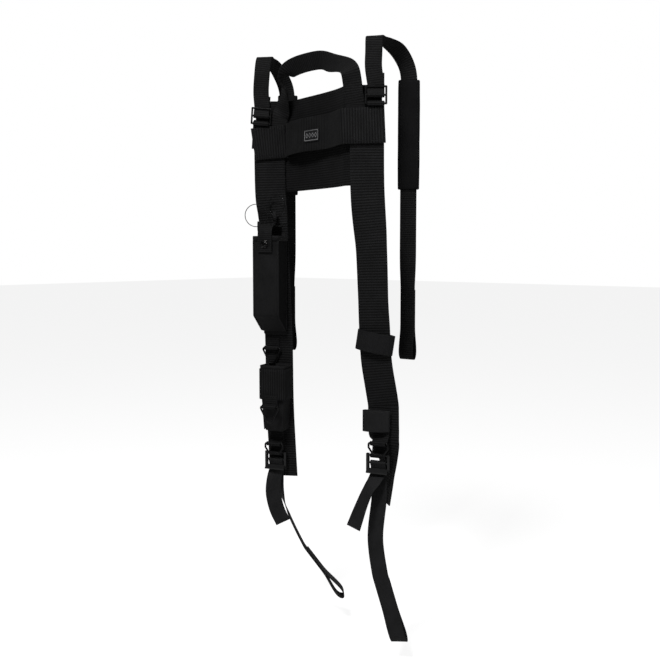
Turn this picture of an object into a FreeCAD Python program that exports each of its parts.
"""Work harness of black webbing that carries a tool belt: two wide front straps, a chest panel and band,
shoulder straps with adjusters and pads, a radio pouch, a tool sheath, rings and four belt loops.

Millimetres, +Z up. The wearer faces -Y and +X is the wearer's left. The origin lies midway between the
undersides of the two shoulder folds, on the rail that the harness hangs from."""
import FreeCAD, Part
import math
import os

os.makedirs("parts", exist_ok=True)
V = FreeCAD.Vector

# ---------------------------------------------------------------- driving sizes
# Webbing
WIDE = 50.0            # front straps
NARROW = 25.0          # shoulder straps, tails, tabs and neck loop
WIDE_T = 2.2
NARROW_T = 1.5
BAND_W = 52.0          # chest band
BAND_T = 2.0
PANEL_H = 145.0        # chest panel
PANEL_T = 2.4
GAP = 0.3              # between sewn layers

# Layout of the hanging harness
HALF_SPAN = 105.5      # centre of a front strap from the middle
SKEW = 6.4             # the wearer's right strap hangs this far back, the left one this far forward
TURN = 41.0            # the hanging straps are turned this far about the vertical
STRAP_TOP = -104.0
RIGHT_LENGTH = 580.0   # front strap on the wearer's right, top edge to lower end
LEFT_LENGTH = 586.0    # the same on the wearer's left
RIGHT_LOW = STRAP_TOP - RIGHT_LENGTH
LEFT_LOW = STRAP_TOP - LEFT_LENGTH
PANEL_MID = -146.5
BAND_MID = -135.5
FOLD_TOP = -5.0        # top of the shoulder fold
BACK_END = -484.0      # lowest point of the back belt loops
BACK_LOOP = 111.0      # length of the doubled end
BACK_SEWN = 62.0       # how much of it is sewn to itself
TAIL_LOOP = 104.0      # the same two on the front tails
TAIL_SEWN = 50.0
SLOT_GAP = 13.0        # how far a belt loop stands open
LOOP_TURN = 34.0       # the back loops have turned this far

# Hardware
WIRE = 3.0             # rings
SLOT_W = NARROW + 2.0  # opening of an adjuster, the webbing and a running clearance
FIRST_RING_R = 18.0     # key rings, to the middle of the wire
KEY_RING_R = 17.0
KEY_WIRE = 1.7
SNAP_R = 6.5


# ---------------------------------------------------------------- frames and ribbons
def side_frame(side, turn=TURN):
    """The frame of one front strap: x across its face, -y out of it, z up; side is +1 for the wearer's left."""
    return FreeCAD.Placement(V(side * HALF_SPAN, -side * SKEW, 0), FreeCAD.Rotation(V(0, 0, 1), turn))


LEFT = side_frame(1)
RIGHT = side_frame(-1)


def across(turn):
    """Width direction of a strap whose face is turned this many degrees towards the wearer's right."""
    a = math.radians(turn)
    return V(math.cos(a), -math.sin(a), 0)


def outward(turn):
    """Direction out of the face of such a strap."""
    a = math.radians(turn)
    return V(-math.sin(a), -math.cos(a), 0)


def smooth(stations, steps):
    """Points and width directions along a smooth curve through the stations, steps to each span."""
    pts = [s[0] for s in stations]
    dirs = [s[1] for s in stations]
    pts = [pts[0] * 2 - pts[1]] + pts + [pts[-1] * 2 - pts[-2]]
    out = []
    for i in range(len(dirs) - 1):
        a, b, c, d = pts[i:i + 4]
        last = i == len(dirs) - 2
        for k in range(steps + (1 if last else 0)):
            t = k / steps
            bend = (a * 2 - b * 5 + c * 4 - d) * t ** 2
            turn = (b * 3 - a - c * 3 + d) * t ** 3
            p = (b * 2 + (c - a) * t + bend + turn) * 0.5
            out.append((p, dirs[i] * (1 - t) + dirs[i + 1] * t))
    return out


def patch(a, b, c, d):
    """The side abcd as one flat face, or as two triangles where it is twisted."""
    normal = (b - a).cross(d - a).normalize()
    if abs((c - a).dot(normal)) < 1e-8:
        return [Part.Face(Part.makePolygon([a, b, c, d, a]))]
    return [Part.Face(Part.makePolygon([a, b, c, a])), Part.Face(Part.makePolygon([a, c, d, a]))]


def ribbon(stations, width, thick, steps=4):
    """A webbing strip along the stations, each a centre point and a width direction."""
    line = smooth(stations, steps)
    rings = []
    for i, (p, w) in enumerate(line):
        ahead = line[min(i + 1, len(line) - 1)][0] - line[max(i - 1, 0)][0]
        ahead.normalize()
        w = w - ahead * w.dot(ahead)
        w.normalize()
        n = ahead.cross(w)
        corners = ((1, 1), (-1, 1), (-1, -1), (1, -1))
        rings.append([p + w * (sx * width / 2) + n * (sn * thick / 2) for sx, sn in corners])
    faces = patch(*rings[0][::-1]) + patch(*rings[-1])
    for near, far in zip(rings, rings[1:]):
        faces += patch(near[3], near[0], far[0], far[3]) + patch(near[0], near[1], far[1], far[0])
        faces += patch(near[1], near[2], far[2], far[1]) + patch(near[3], far[3], far[2], near[2])
    shell = Part.makeShell(faces)
    shell.sewShape()
    solid = Part.Solid(shell)
    if solid.Volume < 0:
        solid.reverse()
    return solid


def hanging(rows, y=0.0):
    """Stations of a strap that hangs down: rows of height, sideways place, turn and, if given, depth."""
    return [(V(r[1], r[3] if len(r) > 3 else y, r[0]), across(r[2])) for r in rows]


def belt_loop(start, along, width_dir, length, sewn, gap, thick):
    """Stations of a strip that runs out, turns and comes back on itself, leaving a slot at its end."""
    along.normalize()
    n = along.cross(width_dir)
    n.normalize()
    near = (thick + GAP) / 2
    out, back = [], []
    for share, half in ((0.0, near), (sewn / length, near), (0.5 + sewn / length / 2, gap * 0.4), (0.9, gap / 2)):
        p = start + along * (length * share)
        out.append((p + n * half, width_dir))
        back.append((p - n * half, width_dir))
    tip = [(start + along * (length - thick / 2), width_dir)]
    return out + tip + back[::-1]


def box(x0, x1, y0, y1, z0, z1):
    return Part.makeBox(x1 - x0, y1 - y0, z1 - z0, V(x0, y0, z0))


def rod_loop(corners, radius, bend):
    """A closed ring of round wire in the xz plane through the corners, each rounded by bend."""
    edges = []
    ends = []
    count = len(corners)
    for i in range(count):
        a, b, c = corners[i - 1], corners[i], corners[(i + 1) % count]
        u = (a - b).normalize()
        v = (c - b).normalize()
        half = math.acos(max(-1.0, min(1.0, u.dot(v)))) / 2
        cut = bend / math.tan(half)
        middle = b + (u + v).normalize() * (bend / math.sin(half) - bend)
        ends.append((b + u * cut, middle, b + v * cut))
    for i in range(count):
        edges.append(Part.Arc(*ends[i]).toShape())
        edges.append(Part.LineSegment(ends[i][2], ends[(i + 1) % count][0]).toShape())
    path = Part.Wire(edges)
    start = ends[0][0]
    tangent = (ends[0][0] - ends[-1][2]).normalize()
    profile = Part.Wire(Part.makeCircle(radius, start, tangent))
    return path.makePipeShell([profile], True, False)


def tilted(shape, pivot, axis, degrees):
    turned = shape.copy()
    turned.rotate(pivot, axis, degrees)
    return turned


def put(name, shapes, frame=None):
    """Writes one node; frame carries it from a strap's own frame into the harness."""
    shape = Part.makeCompound(shapes) if isinstance(shapes, list) else shapes
    shape = shape.copy()
    if frame:
        shape.Placement = frame.multiply(shape.Placement)
    bad = [s for s in shape.Solids if not s.isValid() or s.Volume <= 0]
    state = "BAD" if bad or not shape.Solids else ""
    print(f"{name:28s} solids {len(shape.Solids)} volume {shape.Volume:10.1f} {state}")
    shape.exportStep(f"parts/{name}.step")


# ---------------------------------------------------------------- layers, back to front, in a strap's frame
PLY = NARROW_T + GAP
STRAP_FRONT = -WIDE_T / 2
SEWN_Y = STRAP_FRONT - GAP - NARROW_T / 2                      # first webbing ply sewn on the front strap
SECOND_Y = SEWN_Y - PLY
BAND_Y = SEWN_Y - NARROW_T / 2 - GAP - BAND_T / 2              # chest band over them
PANEL_Y = WIDE_T / 2 + 2 * GAP + PANEL_T / 2                   # chest panel behind
BAR_R = 1.5                                                    # bars of the adjusters
BEND_R = BAR_R + 0.95 + NARROW_T / 2                           # webbing centre line round a bar
BAR_Y = SEWN_Y - BEND_R                                        # bars held by the first ply


def at(frame, x, y, z=0.0):
    return frame.multVec(V(x, y, z))


def face_frame(frame, x, turn, y=0.0):
    """A frame on a front strap where its face has turned: x across the face, -y out of it."""
    return frame.multiply(FreeCAD.Placement(V(x, y, 0), FreeCAD.Rotation(V(0, 0, 1), -turn)))


def in_plane(x):
    """Depth that keeps the wearer's right strap in one plane while it drifts sideways."""
    return -(x - POUCH_X) * math.tan(math.radians(FACE))


FACE = 22.0                   # the lower straps have turned this much further
POUCH_X = 8.5
LOWER_TURN = 26.0
POUCH = face_frame(RIGHT, POUCH_X, FACE)
LEFT_END = face_frame(LEFT, 26, LOWER_TURN)

RIGHT_LINE = ((-276, 6), (-286, 6.5), (-330, 8.5), (-450, 13.5), (-560, 15), (RIGHT_LOW + 47, 18.5),
              (RIGHT_LOW, 21))
RIGHT_STRAP = hanging([(STRAP_TOP, 0, 0, 0), (-215, 1, 0, 0), (-250, 4, 12, 0.8)]
                      + [(z, x, FACE, in_plane(x)) for z, x in RIGHT_LINE])
LEFT_STRAP = hanging([(STRAP_TOP, 0, 0, 0), (-225, 1, 0, 0), (-308, 7, 26, 0), (-386, 10, 30, 0),
                      (-425, 12, 26, 0), (-475, 15, 26, 0), (LEFT_LOW + 172, 22, 25, 1),
                      (LEFT_LOW + 150, 25.5, LOWER_TURN, 0.25), (LEFT_LOW + 140, 26, LOWER_TURN, 0),
                      (LEFT_LOW + 110, 26.5, LOWER_TURN, -0.25), (LEFT_LOW + 100, 27.5, 29, 0.4),
                      (LEFT_LOW + 83, 32, 50, 5), (LEFT_LOW + 45, 33, 70, 8), (LEFT_LOW, 29, 76, 8)])


DRAWN_SPAN = 105.5            # the half span that the places between the straps were laid out for


def between(x, y, z=0.0):
    """A place between the front straps: the middle spreads with them, the ends move with each strap."""
    share = max(-1.0, min(1.0, x / 60.0))
    return V(x + share * (HALF_SPAN - DRAWN_SPAN), y, z)


def front_straps():
    put("right_front_strap", ribbon(RIGHT_STRAP, WIDE, WIDE_T), RIGHT)
    put("left_front_strap", ribbon(LEFT_STRAP, WIDE, WIDE_T), LEFT)


# ---------------------------------------------------------------- chest panel, band, label and carry loop
def chest():
    up = V(0, 0, 1)
    edge = WIDE / 2
    rise = V(0, 0, PANEL_MID)
    plan = [at(RIGHT, 3 - edge, PANEL_Y), at(RIGHT, 0, PANEL_Y), at(RIGHT, edge - 8, PANEL_Y),
            at(RIGHT, edge + 2, PANEL_Y + 0.8), at(RIGHT, edge + 17.670, PANEL_Y - 14.022),
            between(-34, 18), between(8, 7), between(42, -4), at(LEFT, -edge - 11.306, PANEL_Y + 18.591),
            at(LEFT, -edge - 5.760, PANEL_Y + 5.156), at(LEFT, -edge + 4, PANEL_Y + 1.2),
            at(LEFT, -9, PANEL_Y + 0.2), at(LEFT, 4, PANEL_Y), at(LEFT, edge - 3, PANEL_Y)]
    put("chest_panel", ribbon([(p + rise, up) for p in plan], PANEL_H, PANEL_T, 3))
    plan = [(at(RIGHT, -edge - 1, BAND_Y), -8.5), (at(RIGHT, -8, BAND_Y), -6), (at(RIGHT, 12, BAND_Y), -4.5),
            (at(RIGHT, edge - 1, BAND_Y), -3.5), (at(RIGHT, edge + 4, BAND_Y - 0.6), -3),
            (at(RIGHT, edge + 3.562, BAND_Y - 7.909), -2), (at(RIGHT, edge + 11.045, BAND_Y - 23.688), -1), (LABEL_FROM, 0),
            (LABEL_TO, 0), (between(40, -14), 0), (at(LEFT, -edge - 15.766, BAND_Y + 8.367), 1),
            (at(LEFT, -edge - 9, BAND_Y), 1.5),
            (at(LEFT, -edge + 6, BAND_Y), 2), (at(LEFT, 4, BAND_Y), 2.5), (at(LEFT, edge + 1, BAND_Y), 3.5)]
    put("chest_band", ribbon([(p + V(0, 0, BAND_MID + dz), up) for p, dz in plan], BAND_W, BAND_T, 5))


LABEL_FROM = between(-30, -1)
LABEL_TO = between(10, -7)
LABEL_MID = BAND_MID - 2.5
LABEL_W = 36.0
LABEL_H = 19.0
LABEL_T = 0.8


def label():
    """The woven patch, flat on the straight middle of the chest band."""
    run = (LABEL_TO - LABEL_FROM).normalize()
    out = V(run.y, -run.x, 0)
    centre = LABEL_FROM * 0.5 + LABEL_TO * 0.5 + run * 8 + out * (BAND_T / 2 + GAP + LABEL_T / 2 + 0.3)
    place = FreeCAD.Placement(centre + V(0, 0, LABEL_MID), FreeCAD.Rotation(V(1, 0, 0), run))
    wide, thick, high = LABEL_W / 2, LABEL_T / 2, LABEL_H / 2
    put("woven_label", box(-wide, wide, -thick, thick, -high, high), place)


LOOP_W = 28.0
LOOP_FOOT = -158.0          # sewn ends of the carry loop
TAB_X = 12.5                # slider tabs, out from the middle of each front strap
RIGHT_FOOT_X = LOOP_W / 2 + 1.0 + NARROW / 2 - TAB_X
LEFT_FOOT_X = TAB_X - NARROW / 2 - 3.0 - LOOP_W / 2


def carry_loop():
    """One strip, sewn flat on both front straps under the band, that stands up between them as a handle."""
    face = across(-TURN)
    deep = V(-math.sin(math.radians(TURN)), math.cos(math.radians(TURN)), 0)
    up = V(0, 0, 1)
    right, left = RIGHT_FOOT_X, LEFT_FOOT_X
    arch = [(at(RIGHT, right, SEWN_Y, LOOP_FOOT), face), (at(RIGHT, right, SEWN_Y, -114), face),
            (at(RIGHT, right + 2, SEWN_Y - 0.3, -100), face),
            (at(RIGHT, right + 6, -4.5, -91), face - deep * 0.5),
            (at(RIGHT, right + 8, -11, -78), face - deep * 1.2),
            (at(RIGHT, right + 11, -15, -62), face * 0.3 - deep),
            (between(-65, -4, -46), up * 0.3 - deep - face * 0.1),
            (between(-54, -5, -36), up * 0.9 - deep * 0.8),
            (between(-38, -4, -30), up - deep * 0.6), (between(-14, -3, -27), up - deep * 0.6),
            (between(14, -2, -27), up - deep * 0.5 + face * 0.1),
            (between(40, -8, -36), up - deep * 0.3 + face * 0.5),
            (at(LEFT, left - 11, -6, -50), up * 0.7 + face), (at(LEFT, left - 5, -7, -69), up * 0.2 + face),
            (at(LEFT, left - 3, -5, -86), face), (at(LEFT, left, SEWN_Y - 0.5, -101), face),
            (at(LEFT, left, SEWN_Y, -114), face), (at(LEFT, left, SEWN_Y, LOOP_FOOT), face)]
    put("carry_loop", ribbon(arch, LOOP_W, NARROW_T, 3))


# ---------------------------------------------------------------- webbing round bars, in a strap's frame
def arc(y, z, radius, start, end, count=6):
    """Points in the yz plane on an arc about (y, z), angles in degrees from +y towards +z."""
    turns = [math.radians(start + (end - start) * k / count) for k in range(count + 1)]
    return [(y + radius * math.cos(a), z + radius * math.sin(a)) for a in turns]


def strip(path, width, x=0.0, thick=NARROW_T):
    """A flat strip across x that follows a path of (y, z) points."""
    return ribbon([(V(x, y, z), V(1, 0, 0)) for y, z in path], width, thick, 1)


def hook_tab(bar, foot, layer=SEWN_Y, width=NARROW, x=0.0):
    """A tab sewn from the foot height, its other end turned round a bar at (y, z) and stitched to itself."""
    y, z = bar
    up = 1 if z > foot else -1
    rise = (layer, z - up * 8) if abs(z - foot) > 12 else (layer, z - up * 4)
    return strip([(layer, foot), rise] + arc(y, z, BEND_R, 0, 245 * up, 10), width, x)


# ---------------------------------------------------------------- shoulder straps, adjusters and pads
SLIDER_PITCH = 12.0
SLIDER_HALF = SLOT_W / 2 + 1.5
PAD_W = NARROW + 8.0
PAD_T = 13.0
PAD_SLACK = 1.2          # room round the strap inside the sleeve, across and through
PAD_SLACK_Y = 0.75
PAD_L = 163.0
PAD_ROUND = 5.0
PAD_TOP = -58.0


def adjuster(x, pitch, half):
    """A slider: three round bars joined by two side bars."""
    bars = [Part.makeCylinder(BAR_R, 2 * half, V(x - half, 0, k * pitch), V(1, 0, 0)) for k in (-1, 0, 1)]
    sides = [Part.makeCylinder(BAR_R, 2 * pitch, V(x + s * half, 0, -pitch), V(0, 0, 1)) for s in (-1, 1)]
    knobs = [Part.makeSphere(BAR_R, V(x + s * half, 0, k * pitch)) for s in (-1, 1) for k in (-1, 1)]
    whole = bars[0].multiFuse(bars[1:] + sides + knobs)
    return whole.removeSplitter()


def shoulder(side, x, height, lean, over, back_x, back_y):
    """One shoulder: slider and tab, the strap from it over the shoulder to the back loop, and the pad."""
    name = "left" if side > 0 else "right"
    frame = LEFT if side > 0 else RIGHT
    tilt = frame.multiply(FreeCAD.Placement(V(x, BAR_Y, height), FreeCAD.Rotation(V(0, 1, 0), lean)))
    put(f"{name}_slider", adjuster(0, SLIDER_PITCH, SLIDER_HALF), tilt)
    put(f"{name}_slider_tab", hook_tab((0, -SLIDER_PITCH), -52, SEWN_Y - BAR_Y), tilt)
    wrap = [(4.9, 32), (4.9, 9)] + arc(0, 0, BEND_R, 20, -180, 7) + [(-1.2, 5.6), (2.6, 11), (2.6, 16)]
    start = [(tilt.multVec(V(0, y, z)), tilt.Rotation.multVec(V(1, 0, 0))) for y, z in wrap]
    front = [(at(frame, fx, fy, fz), frame.Rotation.multVec(V(*w))) for fx, fy, fz, w in over]
    line = start[:-2] + smooth(start[-2:] + front, 4)
    turns = ((-150, 0), (-298, 0), (-328, 12), (-350, 25), (BACK_END + BACK_LOOP + 6, LOOP_TURN))
    rows = hanging([(z, back_x, t, back_y) for z, t in turns])
    back = [(frame.multVec(p), frame.Rotation.multVec(w)) for p, w in rows]
    w = frame.Rotation.multVec(across(LOOP_TURN))
    top = at(frame, back_x, back_y, BACK_END + BACK_LOOP)
    top = top - frame.Rotation.multVec(outward(LOOP_TURN)) * (PLY / 2)
    loop = belt_loop(top, V(0, 0, -1), w, BACK_LOOP, BACK_SEWN, SLOT_GAP, NARROW_T)
    put(f"{name}_shoulder_strap", ribbon(line + back + loop, NARROW, NARROW_T, 1))
    pad(name, frame, back_x, back_y)


def pad(name, frame, x, y):
    """A sleeve of foam and cloth, loose on the strap."""
    half = PAD_W / 2
    outer = box(-half, half, -PAD_T / 2, PAD_T / 2, 0, PAD_L)
    long_edges = [e for e in outer.Edges if abs(e.Vertexes[0].Z - e.Vertexes[1].Z) > PAD_L / 2]
    outer = outer.makeFillet(PAD_ROUND, long_edges)
    wide, thick = NARROW / 2 + PAD_SLACK, NARROW_T / 2 + PAD_SLACK_Y
    sleeve = outer.cut(box(-wide, wide, -thick, thick, -1, PAD_L + 1))
    place = frame.multiply(FreeCAD.Placement(V(x, y, PAD_TOP - PAD_L), FreeCAD.Rotation()))
    put(f"{name}_shoulder_pad", sleeve, place)


def shoulders():
    flat = (1, 0, 0)
    over = [(-13, -2, -60, flat), (-11, -1.5, -30, flat), (-9, -0.5, -13, flat), (-7, 4, FOLD_TOP, (1, -0.2, 0)),
            (-3, 16, FOLD_TOP - 1, (0.85, -0.5, 0)), (6, 30, -12, (0.85, -0.5, 0.2)),
            (17, 42, -28, (1, -0.3, 0.3)), (25, 48.5, -48, (1, 0, 0.1)), (27.5, 49, -75, flat)]
    shoulder(-1, -TAB_X, -99, 4, over, 27.5, 49)
    over = [(9, -2, -50, flat), (9.5, -1.5, -28, flat), (9.7, -0.5, -12, flat), (11, 4, FOLD_TOP, (1, -0.3, 0)),
            (18, 18, FOLD_TOP, (0.8, -0.6, 0)), (32, 34, -8, (0.8, -0.6, 0.2)), (48, 47, -17, (0.9, -0.3, 0.5)),
            (60, 55, -34, (1, 0, 0.25)), (65, 57, -52, (1, 0, 0.05)), (65.5, 57, -75, flat)]
    shoulder(1, TAB_X, -90, 0, over, 65.5, 57)


# ---------------------------------------------------------------- radio pouch on the wearer's right strap
POUCH_W = 46.0
POUCH_D = 36.0
POUCH_TOP = -291.0
POUCH_FRONT_END = -418.0
POUCH_BACK_END = -444.0
CLOTH = 1.6
POUCH_FRONT = STRAP_FRONT - GAP - POUCH_D
HUMP = (POUCH_FRONT + 10.4, POUCH_TOP + 19.0)          # the closing strap bends here
FLAP_Y = POUCH_FRONT - 2.2      # and hangs here, clear of the pocket
SNAP_Z = POUCH_TOP - 12.0
CAP_T = 1.4
TRIM = 1.0                      # binding round the mouth
TRIM_DROP = 7.0


def side_shape(points, x0, x1):
    """A solid between two planes of x from an outline of (y, z)."""
    outline = Part.makePolygon([V(x0, y, z) for y, z in points + points[:1]])
    return Part.Face(outline).extrude(V(x1 - x0, 0, 0))


def pouch():
    half = POUCH_W / 2
    back = STRAP_FRONT - GAP
    rear = back - CLOTH - GAP
    front = POUCH_FRONT
    backing = box(-half + 3, half - 3, back - CLOTH, back, POUCH_BACK_END - 6, POUCH_TOP + 5)
    put("radio_pouch_back", backing, POUCH)
    outside = [(rear, POUCH_TOP), (front, POUCH_TOP), (front, POUCH_FRONT_END), (rear, POUCH_BACK_END)]
    inside = [(rear - CLOTH, POUCH_TOP + 5), (front + CLOTH, POUCH_TOP + 5),
              (front + CLOTH, POUCH_FRONT_END + CLOTH), (rear - CLOTH, POUCH_BACK_END + 3)]
    outer = side_shape(outside, -half, half)
    inner = side_shape(inside, CLOTH - half, half - CLOTH)
    put("radio_pouch_body", outer.cut(inner), POUCH)
    rim = box(-half - TRIM, half + TRIM, front - TRIM, rear, POUCH_TOP - TRIM_DROP, POUCH_TOP + 1)
    room = half + 0.05
    rim = rim.cut(box(-room, room, front - 0.05, rear + 1, POUCH_TOP - TRIM_DROP - 1, POUCH_TOP + 2))
    put("pouch_binding", rim, POUCH)
    flap = [(HUMP[0] - 0.5, HUMP[1] - 0.1), (front + 2.4, HUMP[1] - 2.5), (front - 1.4, HUMP[1] - 9),
            (FLAP_Y, HUMP[1] - 20), (FLAP_Y, SNAP_Z - 13)]
    put("pouch_closure_strap", strip(flap, NARROW), POUCH)
    base = [(SEWN_Y, HUMP[1] - 1), (-5, HUMP[1] - 3.5), (HUMP[0] / 2 - 0.5, HUMP[1] - 3), HUMP]
    put("closure_strap_base", strip(base, NARROW), POUCH)
    cap_y = FLAP_Y - NARROW_T / 2 - 0.05
    forward = V(0, -1, 0)
    cap = Part.makeCylinder(SNAP_R, CAP_T, V(0, cap_y, SNAP_Z), forward)
    crown = Part.makeCylinder(SNAP_R - 0.6, 9, V(0, cap_y - CAP_T + 0.1, SNAP_Z), forward)
    dome = Part.makeSphere(9.0, V(0, cap_y + 5.9, SNAP_Z)).common(crown)
    put("snap_cap", cap.fuse(dome).removeSplitter(), POUCH)
    stud = Part.makeCylinder(5.0, 0.7, V(0, front, SNAP_Z), forward)
    put("snap_stud", stud, POUCH)


# ---------------------------------------------------------------- rings
KEY_TAB_W = 5.0
FIRST_KEY = (-17.0, -9.0, -274.5)       # where each key ring passes through its tab
SECOND_KEY = (8.5, -11.5, -258.5)


def ring(radius, wire, centre, normal):
    return Part.makeTorus(radius, wire, centre, normal)


def key_rings():
    tabs = []
    for x, y, z in (FIRST_KEY, SECOND_KEY):
        path = [(SEWN_Y - 2.6, z - 10), (y + 4.6, z), (y + 3.4, z + 5.4), (y, z + 7.5), (y - 3.4, z + 5.4),
                (y - 4.6, z), (y - 3.2, z - 5), (y + 0.5, z - 7.5)]
        tabs.append(ribbon([(V(x, py, pz), V(1, 0, 0)) for py, pz in path], KEY_TAB_W, 1.2, 2))
    put("key_ring_tabs", tabs, RIGHT)
    lean = math.radians(76)
    centre = V(*FIRST_KEY) + V(-math.cos(lean), 0, math.sin(lean)) * FIRST_RING_R
    put("key_ring", ring(FIRST_RING_R, KEY_WIRE / 2, centre, V(0, 1, 0)), RIGHT)
    turn = math.radians(40)
    e1 = V(math.cos(turn), -math.sin(turn), 0)
    spot = V(*SECOND_KEY)
    centre = spot + (e1 * 0.3 + V(0, 0, 0.954)) * KEY_RING_R
    put("second_key_ring", ring(KEY_RING_R, KEY_WIRE / 2, centre, e1.cross(V(0, 0, 1))), RIGHT)


V_HALF = NARROW / 2 + 4.5
V_DROP = 25.0
D_HALF = NARROW / 2 + 3.0
D_DROP = 17.0


def v_ring():
    return rod_loop([V(-V_HALF, 0, 0), V(V_HALF, 0, 0), V(4, 0, -V_DROP), V(-4, 0, -V_DROP)], WIRE / 2, 2.6)


def d_ring():
    corners = [V(-D_HALF, 0, 0), V(D_HALF, 0, 0), V(D_HALF, 0, -7), V(8, 0, -D_DROP), V(-8, 0, -D_DROP),
               V(-D_HALF, 0, -7)]
    return rod_loop(corners, WIRE / 2, 2.6)


def hung_ring(name, shape, frame, x, y, z, foot, layer):
    """A ring on a tab: its straight bar passes through the fold of the tab."""
    here = frame.multiply(FreeCAD.Placement(V(x, y, z), FreeCAD.Rotation()))
    put(name, shape, here)
    put(name + "_tab", hook_tab((0, 0), foot - z, layer - y), here)


# ---------------------------------------------------------------- tool sheath under the pouch
SHEATH = face_frame(RIGHT, 15.5, FACE, in_plane(15.5))
SHEATH_W = 44.0
SHEATH_D = 32.0
SHEATH_TOP = -498.0
SHEATH_END = -605.0
SHEATH_BAND_W = 50.0
SHEATH_BAND_T = 2.0
SHEATH_BAND_MID = SHEATH_TOP - 30.0


def sheath():
    half = SHEATH_W / 2
    rear = STRAP_FRONT - GAP
    front = rear - SHEATH_D
    outer = taper(half, front, rear, half - 5, front + 6, SHEATH_TOP, SHEATH_END)
    inner = taper(half - CLOTH, front + CLOTH, rear - CLOTH, half - 5 - CLOTH, front + 6 + CLOTH,
                  SHEATH_TOP + 1, SHEATH_END + CLOTH)
    put("tool_sheath", outer.cut(inner), SHEATH)
    gap = 0.3 + WIDE_T / 2
    far, near = half + gap, front - gap
    around = [(-far, rear), (-far, near), (far, near), (far, rear)]
    band = [(V(x, y, SHEATH_BAND_MID), V(0, 0, 1)) for x, y in around]
    put("sheath_band", ribbon(band, SHEATH_BAND_W, SHEATH_BAND_T, 1), SHEATH)
    layer = near - SHEATH_BAND_T / 2 - GAP - NARROW_T / 2
    bar = SHEATH_BAND_MID - 35
    hung_ring("lower_v_ring", v_ring(), SHEATH, 0, near - 6.5, bar, bar + 18, layer)


def taper(half, front, rear, low_half, low_front, top, end):
    """A pocket that narrows downwards."""
    rims = []
    for h, y, z in ((half, front, top), (low_half, low_front, end)):
        corners = [V(-h, y, z), V(h, y, z), V(h, rear, z), V(-h, rear, z)]
        rims.append(Part.makePolygon(corners + corners[:1]))
    return Part.makeLoft(rims, True, True)


# ---------------------------------------------------------------- ladder locks, tails and their belt loops
LOCK_HALF = SLOT_W / 2 + 3.5
LOCK_PITCH = 11.0
LOCK_T = 5.0


def ladder_lock():
    """Top bar for the sewn tab, middle bar for the tail, and a lip to lift at the bottom."""
    bars = []
    rails = []
    for z in (LOCK_PITCH, 0):
        bars.append(Part.makeCylinder(BAR_R, 2 * LOCK_HALF - 2, V(1 - LOCK_HALF, 0, z), V(1, 0, 0)))
    for x in (-LOCK_HALF, LOCK_HALF):
        rails.append(box(x - 1.9, x + 1.9, -LOCK_T / 2, LOCK_T / 2, -13, LOCK_PITCH + 2.5))
    profile = [(-LOCK_T / 2, -13), (0, -13), (0, -9.5), (-2, -8), (-8, -13), (-8, -15)]
    lip = side_shape(profile, -LOCK_HALF, LOCK_HALF)
    return bars[0].multiFuse([bars[1], lip] + rails).removeSplitter()


def tail_path(place, frame, free, load):
    """From the cut end up through the lock, round its middle bar, and down towards the belt loop."""
    here = [(1.2, -15), (1.2, -9)] + arc(0, 0, BEND_R, -130, -360, 8) + [(3.7, -8), (4.4, -15)]
    middle = [(place.multVec(V(0, y, z)), place.Rotation.multVec(V(1, 0, 0))) for y, z in here]
    before = [(at(frame, x, y, z), frame.Rotation.multVec(across(t))) for x, y, z, t in free]
    after = [(at(frame, x, y, z), frame.Rotation.multVec(across(t))) for x, y, z, t in load]
    first = smooth(before + middle[:1], 4)[:-1]
    last = smooth(middle[-1:] + after, 4)[1:]
    return first + middle + last


def tail(name, place, frame, free, load, along):
    """The adjusting tail: cut end, lock, and the doubled belt loop at its lower end."""
    line = tail_path(place, frame, free, load)
    end, width_dir = line[-1]
    run = frame.Rotation.multVec(V(*along)).normalize()
    start = end + run * 6 - run.cross(width_dir).normalize() * (PLY / 2)
    loop = belt_loop(start, run, width_dir, TAIL_LOOP, TAIL_SEWN, SLOT_GAP, NARROW_T)
    put(name, ribbon(line + loop, NARROW, NARROW_T, 1))


LOCK_Y = -9.0
D_Y = -17.0


def strap_end(name, end, frame, x_ring, x_lock, d_bar, lock_bar, feet, free, load, along):
    """Everything at the lower end of one front strap: D-ring, ladder lock, their tabs, and the tail."""
    hung_ring(f"{name}_d_ring", d_ring(), end, x_ring, D_Y, d_bar, feet[0], SECOND_Y)
    place = end.multiply(FreeCAD.Placement(V(x_lock, LOCK_Y, lock_bar - LOCK_PITCH), FreeCAD.Rotation()))
    put(f"{name}_ladder_lock", ladder_lock(), place)
    put(f"{name}_lock_tab", hook_tab((0, LOCK_PITCH), feet[1] - lock_bar + LOCK_PITCH, SEWN_Y - LOCK_Y), place)
    tail(f"{name}_tail_strap", place, frame, free, load, along)


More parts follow.
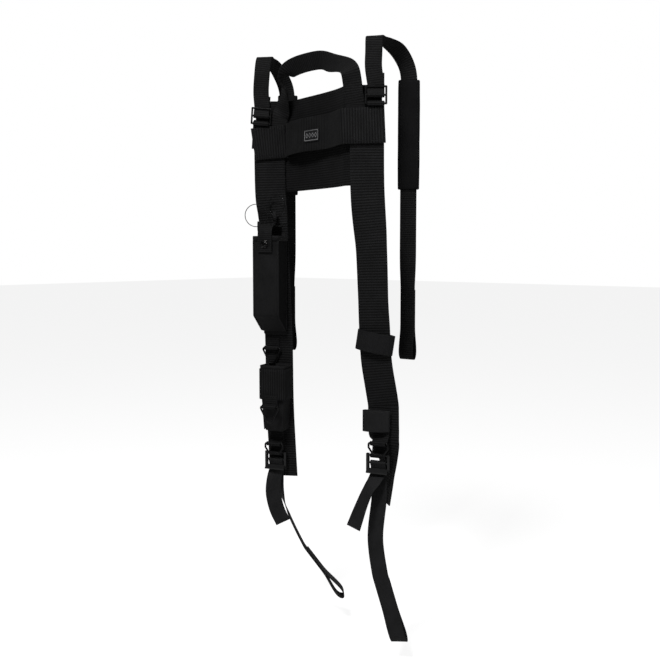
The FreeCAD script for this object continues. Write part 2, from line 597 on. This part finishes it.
def strap_ends():
    low = RIGHT_LOW
    free = [(20, -15, low - 76, 0), (10, -16, low - 54, 0), (4, -15, low - 28, 0), (5, -12, low - 6, 8)]
    load = [(9.5, -5, low - 6, 22), (13, -1, low - 22, 50), (20, 3, low - 44, 78), (29, 2, low - 68, 88),
            (42, 0, low - 96, 88), (55, 0, low - 122, 88)]
    strap_end("right", face_frame(RIGHT, 18.5, FACE, in_plane(18.5)), RIGHT, -7, -7, low + 56, low + 39,
              (low + 76, low + 73), free, load, (0.6, 0, -0.8))
    low = LEFT_LOW
    free = [(-19, -22, low - 32, 35), (-7, -19, low + 1, 50), (3, -14, low + 23, 55), (12, -11, low + 36, 40)]
    load = [(20, -5, low + 28, 26), (19.5, -8, low + 5, 26), (14.5, -9, low - 41, 24), (16, -8, low - 72, 20),
            (22, -8, low - 110, 15)]
    strap_end("left", LEFT_END, LEFT, -1, -4, low + 93, low + 73, (low + 115, low + 128), free, load,
              (0.28, 0, -0.96))


# ---------------------------------------------------------------- keeper and pen loop on the left strap
def turned_band(points, width, thick, z):
    """A strip standing on edge that follows (x, y) points in plan."""
    return ribbon([(V(x, y, z), V(0, 0, 1)) for x, y in points], width, thick, 1)


KEEPER_W = 30.0
KEEPER_T = 1.2
KEEPER_MID = -448.0
PEN_LOOP_W = 32.0


def small_parts():
    keeper = face_frame(LEFT, 13.5, LOWER_TURN)
    hx, front, back = WIDE / 2 + 5, -9.5, 4.0
    plan = [(2, back), (hx - 2, back), (hx, 1), (hx - 1, -4), (hx - 6, front), (0, front - 1.5),
            (6 - hx, front), (1 - hx, -4), (-hx, 1), (2 - hx, back), (-2, back)]
    keeper_band = turned_band(plan, KEEPER_W, KEEPER_T, KEEPER_MID)
    put("elastic_keeper", tilted(keeper_band, V(0, 0, KEEPER_MID), V(0, 1, 0), 9), keeper)
    layer = SECOND_Y - PLY
    plan = [(13, layer), (-23, layer), (-26.5, layer - 2), (-28, layer - 5.5), (-27, layer - 9),
            (-23, layer - 11), (-2, layer - 10), (5, layer - 6), (8, layer - 3), (12, layer - PLY)]
    put("pen_loop", turned_band(plan, PEN_LOOP_W, NARROW_T, LEFT_LOW + 125), LEFT_END)


# ---------------------------------------------------------------- run
front_straps()
chest()
label()
carry_loop()
shoulders()
pouch()
key_rings()
hung_ring("upper_v_ring", v_ring(), SHEATH, -12.5, BAR_Y, SHEATH_TOP + 26, SHEATH_TOP + 43, SEWN_Y)
sheath()
strap_ends()
small_parts()
